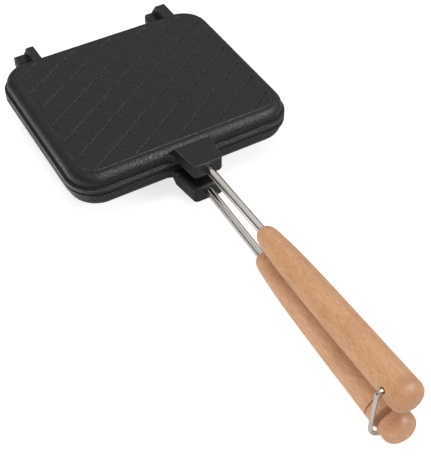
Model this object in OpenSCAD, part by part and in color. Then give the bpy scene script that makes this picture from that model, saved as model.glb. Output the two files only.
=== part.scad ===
// Hinged two-plate pie iron: a pair of cast plates that shut face to face, steel rods,
// turned wooden grips and a wire bail that holds the grips together.
// Frame: origin at the centre of the lower plate's flat outer face, +X to the right,
// +Y from the handles to the hinges, +Z up. Millimetres.

/* [Cast plates] */
// width of each plate across the rim
plate_w = 155; // [125:1:200]
// depth of each plate across the rim, from the handle side to the hinge side
plate_d = 137; // [115:1:180]
// plan radius of the rim's corners
corner_r = 21; // [18:1:24]
// thickness of one plate from the parting seam to its flat outer face
half_t = 12.7; // [11:0.1:18]
// height of the rim band above the seam
rim_h = 3.4; // [2.5:0.1:4]
// width of the ledge between the rim band and the wall
ledge_w = 1.9; // [1:0.1:3]
// radius of the rounded shoulder between the wall and the outer face
shoulder_r = 6.2; // [4:0.1:7]
// wall thickness of the casting
cast_t = 3.1; // [2.5:0.1:4]
// fillet radius round the floor of the cavity
cavity_r = 4; // [3:0.1:6]
// gap left between the two rims at the seam
seam_gap = 0.3; // [0.2:0.05:0.6]
// bevel of the rim's edge beside the seam
rim_bevel = 0.6; // [0.3:0.1:1]

/* [Groove lattice] */
// distance between neighbouring grooves
groove_pitch = 15.3; // [12:0.1:24]
// width of a groove at the surface
groove_w = 2.1; // [1.4:0.1:3]
// width of a groove at its bottom
groove_floor_w = 1; // [0.4:0.1:1.2]
// depth of a groove
groove_depth = 0.9; // [0.4:0.1:1.4]
// angle between the first family of grooves and +X
groove_angle = 33.9; // [20:0.1:70]
// plain margin between the grooves and the edge of the flat face
groove_margin = 2.2; // [1:0.1:6]

/* [Handle lugs] */
// reach of a lug past the plate's rim
lug_reach = 21; // [16:0.5:30]
// width of a lug where it leaves the plate
lug_root_w = 25; // [21:0.1:30]
// width of a lug at its front face
lug_tip_w = 19.6; // [14:0.1:20.5]
// height of a lug's top above the plate's flat outer face
lug_rise = 2.3; // [0:0.1:5]
// height of a lug's underside above the seam
lug_under = 3.9; // [3:0.1:4.5]
// rounding of a lug's long and front edges
lug_round = 2.4; // [1:0.1:3]
// radius of the hollow corners between a lug's flanks and the plate
lug_fillet = 5; // [2:0.1:7]
// height of the hollow corners above a lug's underside
lug_fillet_h = 5.2; // [3:0.1:6]

/* [Rods] */
// diameter of the steel rods
rod_d = 5.5; // [4.5:0.1:6.5]
// height of a rod's axis above its lug's underside, at the front face
rod_up = 4.9; // [4:0.1:6]
// angle at which each rod leaves the seam plane
rod_splay = 1.6; // [0.5:0.1:3]
// free length of a rod between lug and grip
rod_free = 62; // [40:1:90]
// depth to which a rod is seated in its lug
rod_in_lug = 18; // [12:1:20]
// depth to which a rod is seated in its grip
rod_in_grip = 70; // [40:1:100]
// radial clearance drawn round a seated rod or pin
seat_gap = 0.02; // [0.01:0.01:0.05]

/* [Grips] */
// length of a grip
grip_len = 136.5; // [120:0.5:170]
// diameter of a grip's flat front tip
grip_tip_d = 7.4; // [7:0.1:9]
// diameter of a grip behind its rounded nose
grip_neck_d = 14.1; // [12:0.1:17]
// swell of a grip's diameter behind the neck
grip_swell = 3; // [1:0.1:4]
// further growth of a grip's diameter towards its end
grip_taper = 2.3; // [0:0.1:3]
// length over which the nose is rounded
grip_nose = 11; // [8:0.5:16]
// length over which the end is rounded
grip_dome = 6.6; // [4:0.1:9]
// distance of the thin turned line from the end of the lower grip
line_back = 22; // [18:0.5:30]
// width of the thin turned line, cut to half that depth
line_w = 0.8; // [0.5:0.1:1.2]
// depth of the turned wire groove in the lower grip
catch_depth = 1.2; // [1:0.1:2.6]

/* [Wire bail] */
// diameter of the wire
wire_d = 2.4; // [2:0.1:3]
// distance of the bail's pivot hole from the end of the upper grip
bail_back = 13.5; // [12:0.5:16]
// angle by which the pivot hole dips from left to right across the upper grip
pivot_tilt = 12; // [0:0.5:14]
// radial clearance of the wire in its pivot hole
wire_run = 0.1; // [0.05:0.01:0.1]
// mean side clearance between the bail's legs and the grips
bail_side_gap = 1; // [0.9:0.1:2]
// shift of the bail's legs to the left
bail_shift = 0.3; // [0:0.1:0.4]
// angle at which the bail's left leg leans outwards
leg_lean = 1.6; // [0:0.1:5]
// clearance between the bail's bow and the underside of the lower grip
bail_bow_gap = 0.8; // [0.8:0.1:2]
// centreline radius of the bends beside the pivot
bail_bend_r = 2.5; // [2:0.1:3.5]
// gap between the two ends of the wire inside the grip
wire_end_gap = 0.8; // [0.5:0.1:2]
// diameter of the pivot hole's countersunk mouths
mouth_d = 4.6; // [4:0.1:5]

/* [Hinges] */
// distance of the hinge axis behind the plate's rim
hinge_back = 10.5; // [9.5:0.1:14]
// reach of a hinge knuckle behind the axis
knuckle_back = 6; // [5:0.1:6.5]
// reach of a hinge knuckle in front of the axis
knuckle_front = 5.1; // [4.5:0.1:5.5]
// reach of a hinge knuckle past the axis, away from its own plate
knuckle_under = 5; // [4.5:0.1:5.5]
// height of a hinge knuckle's upright back face on its own plate's side of the axis
knuckle_up = 3.5; // [2:0.1:5]
// rounding of a hinge knuckle's back edge
knuckle_round = 4; // [2:0.1:4.4]
// distance of the wide hinge lug's outer face from the plate's side
hinge_inset = 19.7; // [19:0.1:30]
// width of the wide hinge lug
wide_lug_w = 7.5; // [5:0.1:9]
// width of the narrow hinge lug
narrow_lug_w = 5.5; // [4:0.1:8]
// side gap between the two lugs of a hinge
hinge_gap = 0.3; // [0.2:0.05:0.6]
// drop from the plate's flat outer face to a hinge lug's top
hinge_drop = 0.7; // [0.5:0.1:2]
// flat length of a hinge lug's top behind the plate's rim
hinge_flat = 10.1; // [8:0.1:12]
// diameter of the hinge pins
pin_d = 4; // [3:0.1:5]
// radial running clearance of a pin in the upper plate's lug
pin_run = 0.08; // [0.02:0.01:0.1]
// diameter of a pin's riveted heads
pin_head_d = 7; // [6:0.1:8]
// height of a pin's riveted heads
pin_head_h = 0.9; // [0.6:0.1:1.5]
// gap between a pin's head and the lug beside it
head_gap = 0.1; // [0.05:0.05:0.3]

/* [Hidden] */
fine = 64;
over = 1;
half_w = plate_w / 2;
half_d = plate_d / 2;
wall_in = ledge_w + cast_t;
face_in = ledge_w + shoulder_r;
face_step = 0.4;
lattice_in = face_in + groove_margin;
lattice_x = half_w - lattice_in;
lattice_y = half_d - lattice_in;
lattice_r = corner_r - lattice_in;
groove_reach = norm([half_w, half_d]);
groove_count = floor(groove_reach / groove_pitch);
lug_front = -half_d - lug_reach;
lug_back = face_in - half_d;
heel_bed = 0.6;
heel_r = shoulder_r - heel_bed;
lug_heel = [lug_back - heel_r * cos(45), half_t - face_step - shoulder_r + heel_r * sin(45)];
lug_top = half_t + lug_rise;
rod_rise = lug_under + rod_up;
lug_taper = atan((lug_root_w - lug_tip_w) / 2 / lug_reach);
hinge_y = half_d + hinge_back;
hinge_flat_y = half_d + hinge_flat;
hinge_top = half_t - hinge_drop;
hinge_out = half_w - hinge_inset;
knuckle_nose = 1;
grip_end = rod_free + grip_len;
grip_butt_r = (grip_neck_d + grip_swell + grip_taper) / 2;
swell_len = 17;
wire_hair = 0.01;
wire_lap = 0.1;
bail_s = grip_end - bail_back;
bail_y = lug_front - bail_s * cos(rod_splay);
bail_z = rod_rise + bail_s * sin(rod_splay);
bail_half = grip_butt_r + bail_side_gap + wire_d / 2;
wide_in = hinge_out - wide_lug_w;
narrow_out = wide_in - hinge_gap;
narrow_in = narrow_out - narrow_lug_w;

// profile of a grip: radius at distance s from its front tip
function nose_r(s) = grip_tip_d / 2
    + (grip_neck_d - grip_tip_d) / 2 * sqrt(1 - pow(1 - s / grip_nose, 2));
function body_r(s) = grip_neck_d / 2
    + grip_swell / 2 * (1 - exp(-(s - grip_nose) / swell_len))
    + grip_taper / 2 * (s - grip_nose) / (grip_len - grip_dome - grip_nose);
function dome_r(a) = body_r(grip_len - grip_dome) * pow(cos(a), 0.8);

// cross-section of one plate from its centre to the rim at x = reach
module outer_section(reach) {
    wall = reach - ledge_w;
    low = seam_gap / 2;
    top = half_t - face_step;
    polygon([[0, low], [reach - rim_bevel, low], [reach, low + rim_bevel],
             [reach, rim_h], [wall, rim_h], [0, rim_h]]);
    translate([0, low]) square([wall, top - shoulder_r - low]);
    translate([0, low]) square([wall - shoulder_r, top - low]);
    translate([wall - shoulder_r, top - shoulder_r]) intersection() {
        circle(r = shoulder_r, $fn = fine);
        square(shoulder_r + over);
    }
    polygon([[0, low], [wall - shoulder_r - face_step, low],
             [wall - shoulder_r - face_step, half_t - face_step],
             [wall - shoulder_r - 2 * face_step, half_t], [0, half_t]]);
}

// cross-section of the cavity in one plate
module cavity_section(reach) {
    wall = reach - wall_in;
    top = half_t - cast_t;
    translate([0, -over]) square([wall, top - cavity_r + over]);
    translate([0, -over]) square([wall - cavity_r, top + over]);
    translate([wall - cavity_r, top - cavity_r]) intersection() {
        circle(r = cavity_r, $fn = fine);
        square(cavity_r + over);
    }
}

// rounded tray: a section carried round the plate's outline
module tray(shape) {
    for (sx = [-1, 1], sy = [-1, 1]) {
        turn = sy > 0 ? (sx > 0 ? 0 : 90) : (sx > 0 ? 270 : 180);
        translate([sx * (half_w - corner_r), sy * (half_d - corner_r), 0])
            rotate([0, 0, turn])
                rotate_extrude(angle = 90, $fn = fine)
                    section(shape, corner_r);
    }
    for (turn = [0, 180]) {
        rotate([0, 0, turn]) rotate([90, 0, 0])
            translate([0, 0, corner_r - half_d])
                linear_extrude(height = plate_d - 2 * corner_r) section(shape, half_w);
        rotate([0, 0, turn]) rotate([90, 0, 90])
            translate([0, 0, corner_r - half_w])
                linear_extrude(height = plate_w - 2 * corner_r) section(shape, half_d);
    }
}

module section(shape, reach) {
    if (shape == "outer") outer_section(reach);
    else cavity_section(reach);
}

// area of the flat face that carries the lattice
module lattice_area() {
    translate([0, 0, half_t - groove_depth - over])
        linear_extrude(height = groove_depth + 2 * over) {
            square([2 * lattice_x, 2 * (lattice_y - lattice_r)], center = true);
            square([2 * (lattice_x - lattice_r), 2 * lattice_y], center = true);
            for (sx = [-1, 1], sy = [-1, 1])
                translate([sx * (lattice_x - lattice_r), sy * (lattice_y - lattice_r)])
                    circle(r = lattice_r, $fn = fine);
        }
}

// straight grooves that cross at right angles
module grooves() {
    flare = (groove_w - groove_floor_w) / groove_depth;
    intersection() {
        lattice_area();
        for (turn = [groove_angle, groove_angle - 90], k = [-groove_count : groove_count])
            rotate([0, 0, turn]) translate([-groove_reach, k * groove_pitch, half_t])
                rotate([90, 0, 90]) linear_extrude(height = 2 * groove_reach)
                    polygon([[-groove_floor_w / 2, -groove_depth],
                             [groove_floor_w / 2, -groove_depth],
                             [groove_w / 2 + flare * over / 2, over],
                             [-groove_w / 2 - flare * over / 2, over]]);
    }
}

// front view of a lug, with its edge on the seam side rounded
module lug_front_view(side) {
    far = 3 * lug_root_w;
    tall = lug_top - lug_under;
    translate([side > 0 ? lug_round - far : -lug_round, lug_under + lug_round])
        square([far, tall - lug_round]);
    translate([side > 0 ? -far : 0, lug_under]) square([far, tall]);
    translate([0, lug_under + lug_round]) circle(r = lug_round, $fn = fine);
}

// one flank of a lug, leaning in by the lug's taper
module lug_flank(side) {
    back = face_in + over;
    translate([side * (lug_root_w / 2 - lug_round), -half_d, 0])
        rotate([0, 0, -side * lug_taper])
            translate([0, back, 0]) rotate([90, 0, 0])
                linear_extrude(height = lug_reach + back + 2 * over) lug_front_view(side);
}

// plan view of a lug, with rounded corners at the front
module lug_plan() {
    tip = lug_tip_w / 2 - lug_round;
    depth = lug_back - lug_front;
    translate([0, 0, lug_under - over]) linear_extrude(height = lug_top + 2 * over) {
        translate([-tip, lug_front]) square([2 * tip, depth]);
        translate([-lug_root_w, lug_front + lug_round])
            square([2 * lug_root_w, depth - lug_round]);
        for (sx = [-1, 1])
            translate([sx * (tip + tan(lug_taper) * lug_round), lug_front + lug_round])
                circle(r = lug_round, $fn = fine);
    }
}

// side view of a lug: flat top, then a steep heel down into the shoulder
module lug_side() {
    rotate([90, 0, 90]) translate([0, 0, -lug_root_w])
        linear_extrude(height = 2 * lug_root_w)
            polygon([[lug_front, lug_under], [lug_front, lug_top], [-half_d, lug_top],
                     lug_heel, [lug_heel[0], lug_under]]);
}

// hollow corner between a lug's flank and the plate's wall
module lug_corner(side) {
    bed = 3;
    across = [cos(lug_taper), -sin(lug_taper)];
    centre = [lug_fillet * (1 - sin(lug_taper)) / cos(lug_taper), -lug_fillet];
    mirror([side > 0 ? 0 : 1, 0, 0])
        translate([lug_root_w / 2 + ledge_w * tan(lug_taper), ledge_w - half_d, lug_under])
            linear_extrude(height = lug_fillet_h) difference() {
                polygon([[-bed, over], [centre[0], over], centre,
                         centre - (lug_fillet + bed) * across]);
                translate(centre) circle(r = lug_fillet, $fn = fine);
            }
}

// tapered block on the front of a plate that takes the rod
module handle_lug() {
    intersection() {
        lug_side();
        lug_flank(-1);
        lug_flank(1);
        lug_plan();
    }
    lug_corner(-1);
    lug_corner(1);
}

// one hinge lug between two X stations: an arm behind the plate and its squared knuckle
module hinge_lug(x0, x1) {
    root_y = half_d - face_in;
    back = hinge_y + knuckle_back;
    front = hinge_y - knuckle_front;
    translate([x0, 0, 0]) rotate([90, 0, 90]) linear_extrude(height = x1 - x0) {
        polygon([[root_y, rim_h], [root_y, hinge_top], [hinge_flat_y, hinge_top],
                 [back, knuckle_up], [back, knuckle_round - knuckle_under],
                 [back - knuckle_round, -knuckle_under],
                 [front + knuckle_nose, -knuckle_under],
                 [front, knuckle_nose - knuckle_under], [front, -knuckle_nose],
                 [half_d + hinge_back / 4, seam_gap / 2],
                 [half_d - ledge_w, seam_gap / 2]]);
        translate([back - knuckle_round, knuckle_round - knuckle_under])
            circle(r = knuckle_round, $fn = fine);
        translate([front + knuckle_nose, knuckle_nose - knuckle_under])
            circle(r = knuckle_nose, $fn = fine);
    }
}

// the handle's own axis: +Z runs out of the lug's front face, along the rod
module along_handle() {
    translate([0, lug_front, rod_rise]) rotate([90 - rod_splay, 0, 0]) children();
}

// one plate of the pair, above the seam
module casting() {
    difference() {
        union() {
            tray("outer");
            handle_lug();
            hinge_lug(-narrow_out, -narrow_in);
            hinge_lug(wide_in, hinge_out);
        }
        tray("cavity");
        grooves();
        along_handle() translate([0, 0, -rod_in_lug])
            cylinder(d = rod_d + 2 * seat_gap, h = rod_in_lug + over, $fn = fine);
    }
}

// one steel rod, seated in its lug and its grip
module rod() {
    along_handle() translate([0, 0, head_gap - rod_in_lug])
        cylinder(d = rod_d, h = rod_in_lug + rod_free + rod_in_grip - head_gap, $fn = fine);
}

// turned outline of a grip and its blind bore
module grip_body() {
    nose_steps = 8;
    body_steps = 14;
    dome_steps = 8;
    body_len = grip_len - grip_dome - grip_nose;
    nose = [for (i = [0 : nose_steps - 1]) let (s = grip_nose * pow(i / nose_steps, 2))
            [nose_r(s), s]];
    body = [for (i = [0 : body_steps]) let (s = grip_nose + body_len * i / body_steps)
            [body_r(s), s]];
    dome = [for (i = [1 : dome_steps - 1]) let (a = 90 * i / dome_steps)
            [dome_r(a), grip_len - grip_dome + grip_dome * sin(a)]];
    translate([0, 0, rod_free]) difference() {
        rotate_extrude($fn = fine)
            polygon(concat([[0, 0]], nose, body, dome, [[0, grip_len]]));
        translate([0, 0, -over])
            cylinder(d = rod_d + 2 * seat_gap, h = rod_in_grip + head_gap + over, $fn = fine);
    }
}

// the bail's pivot axis: +Z runs to the right through the centre of the upper grip
module at_pivot() {
    translate([0, bail_y, bail_z]) rotate([0, 90 + pivot_tilt, 0]) children();
}

// hole across the upper grip for the bail's pivot, countersunk at both mouths
module pivot_hole() {
    hole_r = wire_d / 2 + wire_run;
    sink = mouth_d / 2 - hole_r;
    at_pivot() {
        cylinder(r = hole_r, h = 4 * grip_butt_r, center = true, $fn = fine);
        for (turn = [0, 180]) rotate([turn, 0, 0])
            translate([0, 0, grip_butt_r - sink])
                cylinder(r1 = hole_r, r2 = hole_r + 2 * sink, h = 2 * sink, $fn = fine);
    }
}

// turned features of the lower grip: a thin line and the groove the bail lies in
module turned_rings() {
    catch_r = catch_depth + wire_d / 2;
    along_handle() {
        translate([0, 0, grip_end - line_back]) rotate_extrude($fn = fine)
            translate([body_r(grip_len - line_back) - line_w / 2, -line_w / 2])
                square([line_w, line_w]);
        translate([0, 0, bail_s]) rotate_extrude($fn = fine)
            translate([grip_butt_r - catch_depth + catch_r, 0])
                circle(r = catch_r, $fn = fine);
    }
}

// a straight length of wire along +Z, a hair thinner than the bends that it runs into
module wire(start, end) {
    translate([0, 0, start]) cylinder(d = wire_d - wire_hair, h = end - start, $fn = 32);
}

// a bend of the wire round a centre in the bail's plane, from one angle to another
module wire_bend(centre, r, start, end) {
    translate([centre[0], 0, centre[1]]) rotate([90, 0, 0]) rotate([0, 0, start])
        rotate_extrude(angle = end - start, $fn = fine)
            translate([r, 0]) circle(d = wire_d, $fn = 32);
}

// bent wire: two ends in the pivot hole, two legs and a round bow, drawn from the pivot
module bail_wire() {
    left = bail_half + bail_shift;
    right = bail_half - bail_shift;
    low = -2 * bail_z - grip_butt_r - bail_bow_gap - wire_d / 2;
    bend_z = function (x) -(bail_bend_r + x * sin(pivot_tilt)) / cos(pivot_tilt);
    along = function (c) c[0] * cos(pivot_tilt) - c[1] * sin(pivot_tilt);
    left_x = bail_bend_r * cos(leg_lean) - left;
    left_bend = [left_x, bend_z(left_x)];
    right_bend = [right - bail_bend_r, bend_z(right - bail_bend_r)];
    drop = left_bend[1] + bail_bend_r * sin(leg_lean) - low;
    share = 1 + cos(leg_lean) + sin(leg_lean);
    bow_r = ((left + right) * cos(leg_lean) + drop * sin(leg_lean)) / share;
    leg = ((1 + cos(leg_lean)) * drop - (1 + sin(leg_lean)) * (left + right)) / share;
    bow = [right - bow_r, low + bow_r];
    at_pivot() {
        wire(along(left_bend) - wire_lap, -wire_end_gap / 2);
        wire(wire_end_gap / 2, along(right_bend) + wire_lap);
    }
    translate([0, bail_y, bail_z]) {
        wire_bend(left_bend, bail_bend_r, 90 - pivot_tilt, 180 - leg_lean);
        translate([left_bend[0] - bail_bend_r * cos(leg_lean), 0,
                   left_bend[1] + bail_bend_r * sin(leg_lean)])
            rotate([0, 180 + leg_lean, 0]) wire(-wire_lap, leg + wire_lap);
        wire_bend(bow, bow_r, 180 - leg_lean, 360);
        translate([right, 0, 0]) wire(bow[1] - wire_lap, right_bend[1] + wire_lap);
        wire_bend(right_bend, bail_bend_r, 0, 90 - pivot_tilt);
    }
}

// riveted pin along X through one hinge, from x0 to x1
module hinge_pin(x0, x1) {
    shank = x1 - x0 + 2 * head_gap;
    translate([x0 - head_gap, hinge_y, 0]) rotate([0, 90, 0]) {
        cylinder(d = pin_d, h = shank, $fn = fine);
        translate([0, 0, -pin_head_h]) cylinder(r1 = pin_head_d / 2 - pin_head_h / 2,
            r2 = pin_head_d / 2, h = pin_head_h, $fn = fine);
        translate([0, 0, shank]) cylinder(r1 = pin_head_d / 2,
            r2 = pin_head_d / 2 - pin_head_h / 2, h = pin_head_h, $fn = fine);
    }
}

// bores of a plate's two hinge lugs: running in the upper plate, seated in the lower
module hinge_bores(gap) {
    translate([-half_w, hinge_y, 0]) rotate([0, 90, 0])
        cylinder(d = pin_d + 2 * gap, h = plate_w, $fn = fine);
}

// turns a piece of the upper half into its twin below the seam
module below() {
    rotate([0, 180, 0]) children();
}

// lifts the model so that the lower plate's outer face is at zero
module raised() {
    translate([0, 0, half_t]) children();
}

module upper_plate() {
    color([0.09, 0.09, 0.095]) raised() difference() {
        casting();
        hinge_bores(pin_run);
    }
}

module lower_plate() {
    color([0.09, 0.09, 0.095]) raised() below() difference() {
        casting();
        hinge_bores(seat_gap);
    }
}

module left_hinge_pin() {
    color([0.6, 0.6, 0.62]) raised() hinge_pin(-hinge_out, -narrow_in);
}

module right_hinge_pin() {
    color([0.6, 0.6, 0.62]) raised() hinge_pin(narrow_in, hinge_out);
}

module upper_rod() {
    color([0.72, 0.72, 0.72]) raised() rod();
}

module lower_rod() {
    color([0.72, 0.72, 0.72]) raised() below() rod();
}

module upper_grip() {
    color([0.8, 0.57, 0.36]) raised() difference() {
        along_handle() grip_body();
        pivot_hole();
    }
}

module lower_grip() {
    color([0.76, 0.52, 0.33]) raised() below() difference() {
        along_handle() grip_body();
        turned_rings();
    }
}

module bail() {
    color([0.75, 0.75, 0.76]) raised() bail_wire();
}

upper_plate();
lower_plate();
left_hinge_pin();
right_hinge_pin();
upper_rod();
lower_rod();
upper_grip();
lower_grip();
bail();
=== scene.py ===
"""Looks of a hinged pie iron: coated castings, steel rods, turned wooden grips and a wire bail."""

from __future__ import annotations

import logging
import math
from dataclasses import dataclass, field
from enum import Enum

import bmesh
import bpy
from mathutils import Matrix, Vector

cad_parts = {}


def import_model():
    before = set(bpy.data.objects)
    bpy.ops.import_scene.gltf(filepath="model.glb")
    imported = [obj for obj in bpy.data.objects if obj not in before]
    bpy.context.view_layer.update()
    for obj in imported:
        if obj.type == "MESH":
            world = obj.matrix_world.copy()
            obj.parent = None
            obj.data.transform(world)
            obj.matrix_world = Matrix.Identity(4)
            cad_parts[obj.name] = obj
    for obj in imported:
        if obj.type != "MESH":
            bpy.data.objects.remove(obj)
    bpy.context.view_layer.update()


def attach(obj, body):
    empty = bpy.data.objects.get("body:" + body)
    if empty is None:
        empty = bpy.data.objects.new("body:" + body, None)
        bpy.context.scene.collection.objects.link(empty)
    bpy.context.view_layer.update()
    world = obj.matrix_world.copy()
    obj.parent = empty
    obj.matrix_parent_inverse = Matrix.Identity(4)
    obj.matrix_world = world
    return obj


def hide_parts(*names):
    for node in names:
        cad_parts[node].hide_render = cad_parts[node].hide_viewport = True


LOG = logging.getLogger("pie_iron")

Rgb = tuple[float, float, float]
Point = tuple[float, float]
Mesh, Face = bmesh.types.BMesh, bmesh.types.BMFace
Edge, Corner = bmesh.types.BMEdge, bmesh.types.BMVert
Piece, Material, Socket = bpy.types.Object, bpy.types.Material, bpy.types.NodeSocket


def mm(value: float) -> float:
    """Turns millimetres into Blender's metres."""
    return value * 0.001


WELD = mm(0.002)  # corners closer than this become one
SLIVER = mm(0.001)  # edges shorter than this are dissolved
SNAP = mm(0.0005)  # corners this close to a cut lie on it
LEAST_INSET = mm(0.0004)  # inset of a step that only climbs


class Half(Enum):
    """One half of the iron."""

    UPPER = "upper"
    LOWER = "lower"

    @property
    def body(self) -> str:
        """Name of the body that this half's pieces ride on."""
        return f"{self.value}_half"


class Side(Enum):
    """One side of the iron, seen from the grips."""

    LEFT = "left"
    RIGHT = "right"


# ---------------------------------------------------------------- shared sizes


@dataclass(frozen=True)
class Layout:
    """Sizes that several pieces share, in metres, with the seam at height zero.

    Attributes:
        half_t: Thickness of one plate from the seam to its outer face.
        half_w: Half the width of a plate.
        half_d: Half the depth of a plate.
        lug_reach: Reach of a handle lug past the rim.
        rod_rise: Height of a rod's axis at the lug's front face.
        splay: Angle at which each handle leaves the seam plane, in radians.
        rod_free: Free length of a rod between lug and grip.
        grip_len: Length of a grip.
        hinge_y: Distance of the hinge axis from the centre plane.
        bail_back: Distance of the bail's pivot from the end of the grip.
        pivot_tilt: Angle by which the pivot dips from left to right, in radians.
        line_back: Distance of the lower grip's turned line from its end.
    """

    half_t: float = mm(12.7)
    half_w: float = mm(77.5)
    half_d: float = mm(68.5)
    lug_reach: float = mm(21)
    rod_rise: float = mm(8.8)
    splay: float = math.radians(1.6)
    rod_free: float = mm(62)
    grip_len: float = mm(136.5)
    hinge_y: float = mm(79)
    bail_back: float = mm(13.5)
    pivot_tilt: float = math.radians(12)
    line_back: float = mm(22)

    @property
    def lug_front(self) -> float:
        """Y of the lugs' front faces."""
        return -self.half_d - self.lug_reach

    @property
    def butt(self) -> float:
        """Distance of a grip's end from the lug's front face, along the handle."""
        return self.rod_free + self.grip_len

    @property
    def bail_s(self) -> float:
        """Distance of the bail's pivot from the lug's front face, along the handle."""
        return self.butt - self.bail_back

    @property
    def pivot(self) -> Vector:
        """Centre of the bail's pivot, from the seam."""
        return Vector((0.0, self.lug_front - self.bail_s * math.cos(self.splay),
                       self.rod_rise + self.bail_s * math.sin(self.splay)))

    def seam(self, half: Half) -> Matrix:
        """Places a piece drawn above the seam in the shared frame.

        Args:
            half: The half that the piece belongs to.

        Returns:
            The placing matrix; the lower half is the upper one turned over.
        """
        lift = Matrix.Translation((0.0, 0.0, self.half_t))
        return lift if half is Half.UPPER else lift @ Matrix.Rotation(math.pi, 4, "Y")

    def handle(self, half: Half) -> Matrix:
        """Places a piece drawn along +Z on the handle's own axis.

        Args:
            half: The half that the piece belongs to.

        Returns:
            The placing matrix, from the lug's front face out along the rod.
        """
        start = Matrix.Translation((0.0, self.lug_front, self.rod_rise))
        return self.seam(half) @ start @ Matrix.Rotation(math.pi / 2 - self.splay, 4, "X")


LAYOUT = Layout()


# ---------------------------------------------------------------- mesh helpers


def revolve(profile: list[Point], steps: int) -> Mesh:
    """Spins a profile of (radius, height) points about +Z into a closed solid.

    Args:
        profile: Points from one pole to the other, both on the axis.
        steps: Number of steps in the full turn.

    Returns:
        A new bmesh with its faces outwards.
    """
    bm = bmesh.new()
    verts = [bm.verts.new((r, 0.0, z)) for r, z in profile]
    edges = [bm.edges.new(pair) for pair in zip(verts, verts[1:])]
    bmesh.ops.spin(bm, geom=verts + edges, cent=(0, 0, 0), axis=(0, 0, 1), angle=math.tau,
                   steps=steps, use_merge=True)
    tidy_shell(bm)
    return bm


def tidy_shell(bm: Mesh) -> None:
    """Merges doubles and turns every face outwards.

    Args:
        bm: The mesh.
    """
    bmesh.ops.remove_doubles(bm, verts=bm.verts[:], dist=WELD)
    bmesh.ops.dissolve_degenerate(bm, edges=bm.edges[:], dist=SLIVER)
    bmesh.ops.recalc_face_normals(bm, faces=bm.faces[:])


def extruded(outline: list[Vector], along: Vector) -> Mesh:
    """Extrudes one flat outline into a closed block.

    Args:
        outline: Corners of the outline, in order.
        along: Way and distance of the extrusion.

    Returns:
        A new bmesh with its faces outwards.
    """
    bm = bmesh.new()
    face = bm.faces.new([bm.verts.new(p) for p in outline])
    made = bmesh.ops.extrude_face_region(bm, geom=[face])
    verts = [g for g in made["geom"] if isinstance(g, Corner)]
    bmesh.ops.translate(bm, verts=verts, vec=along)
    bmesh.ops.recalc_face_normals(bm, faces=bm.faces[:])
    return bm


def round_edges(bm: Mesh, edges: list[Edge], radius: float, segments: int) -> None:
    """Rounds the given edges.

    Args:
        bm: The mesh that holds them.
        edges: Edges to round.
        radius: Width of the bevel.
        segments: Number of strips across it.
    """
    bmesh.ops.bevel(bm, geom=edges, offset=radius, offset_type="OFFSET", affect="EDGES",
                    segments=segments, profile=0.5, material=-1, clamp_overlap=True)


def sharp_edges(bm: Mesh, least: float) -> list[Edge]:
    """Finds the edges whose faces meet at more than an angle.

    Args:
        bm: The mesh to search.
        least: Smallest angle that counts, in degrees.

    Returns:
        Those edges.
    """
    limit = math.radians(least)
    return [e for e in bm.edges if e.is_manifold and e.calc_face_angle(0.0) > limit]


def carved(bm: Mesh, cutter: Mesh) -> Mesh:
    """Cuts one closed mesh out of another.

    Args:
        bm: The mesh that is cut; it is freed.
        cutter: The mesh that is taken away; it is freed.

    Returns:
        A new bmesh of what is left.
    """
    pair = []
    for name, source in (("carve_body", bm), ("carve_tool", cutter)):
        mesh = bpy.data.meshes.new(name)
        source.to_mesh(mesh)
        source.free()
        obj = bpy.data.objects.new(name, mesh)
        bpy.context.scene.collection.objects.link(obj)
        pair.append(obj)
    body, tool = pair
    cut = body.modifiers.new("cut", "BOOLEAN")
    cut.operation, cut.solver, cut.object = "DIFFERENCE", "EXACT", tool
    final = body.evaluated_get(bpy.context.evaluated_depsgraph_get())
    done = bpy.data.meshes.new_from_object(final)
    result = bmesh.new()
    result.from_mesh(done)
    for obj in pair:
        mesh = obj.data
        bpy.data.objects.remove(obj)
        bpy.data.meshes.remove(mesh)
    bpy.data.meshes.remove(done)
    return result


def merged(parts: list[Mesh]) -> Mesh:
    """Gathers several meshes in one.

    Args:
        parts: The meshes; each is freed.

    Returns:
        A new bmesh that holds them all.
    """
    whole = bmesh.new()
    for part in parts:
        mesh = bpy.data.meshes.new("part")
        part.to_mesh(mesh)
        part.free()
        whole.from_mesh(mesh)
        bpy.data.meshes.remove(mesh)
    return whole


@dataclass(frozen=True)
class EdgeWearAndHighlight:
    """A narrow strip that stands proud along a crisp edge, where a coating wears thin and a
    highlight is painted.

    Attributes:
        widest: Width of the widest strip that counts.
        bend: Least outward bend along one side, in radians.
        hollow: Deepest inward bend along any side, in radians.
        shelter: Height from the seam up to which the other half shields it, so that it gets neither
            wear nor painted highlight.
        level: Upward share of the normal past which a strip counts as level.
        level_mark: Mark of a level strip; any other gets 1.
    """

    widest: float = mm(0.45)
    bend: float = 0.28
    hollow: float = -0.06
    shelter: float = mm(1.3)
    level: float = 0.99
    level_mark: float = 0.3

    def mark(self, bm: Mesh) -> None:
        """Marks these strips for wear and a painted highlight in a face layer named worn_and_lit.

        Args:
            bm: The mesh, still in its own frame, with the seam at height zero.
        """
        bm.normal_update()
        layer = bm.faces.layers.float.new("worn_and_lit")
        for face in bm.faces:
            width = 2 * face.calc_area() / face.calc_perimeter()
            bends = [e.calc_face_angle_signed(0.0) for e in face.edges if e.is_manifold]
            proud = (width < self.widest and max(bends, default=0.0) > self.bend
                     and min(bends, default=0.0) > self.hollow)
            if proud and abs(face.calc_center_median().z) > self.shelter:
                face[layer] = self.level_mark if abs(face.normal.z) > self.level else 1.0


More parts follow.
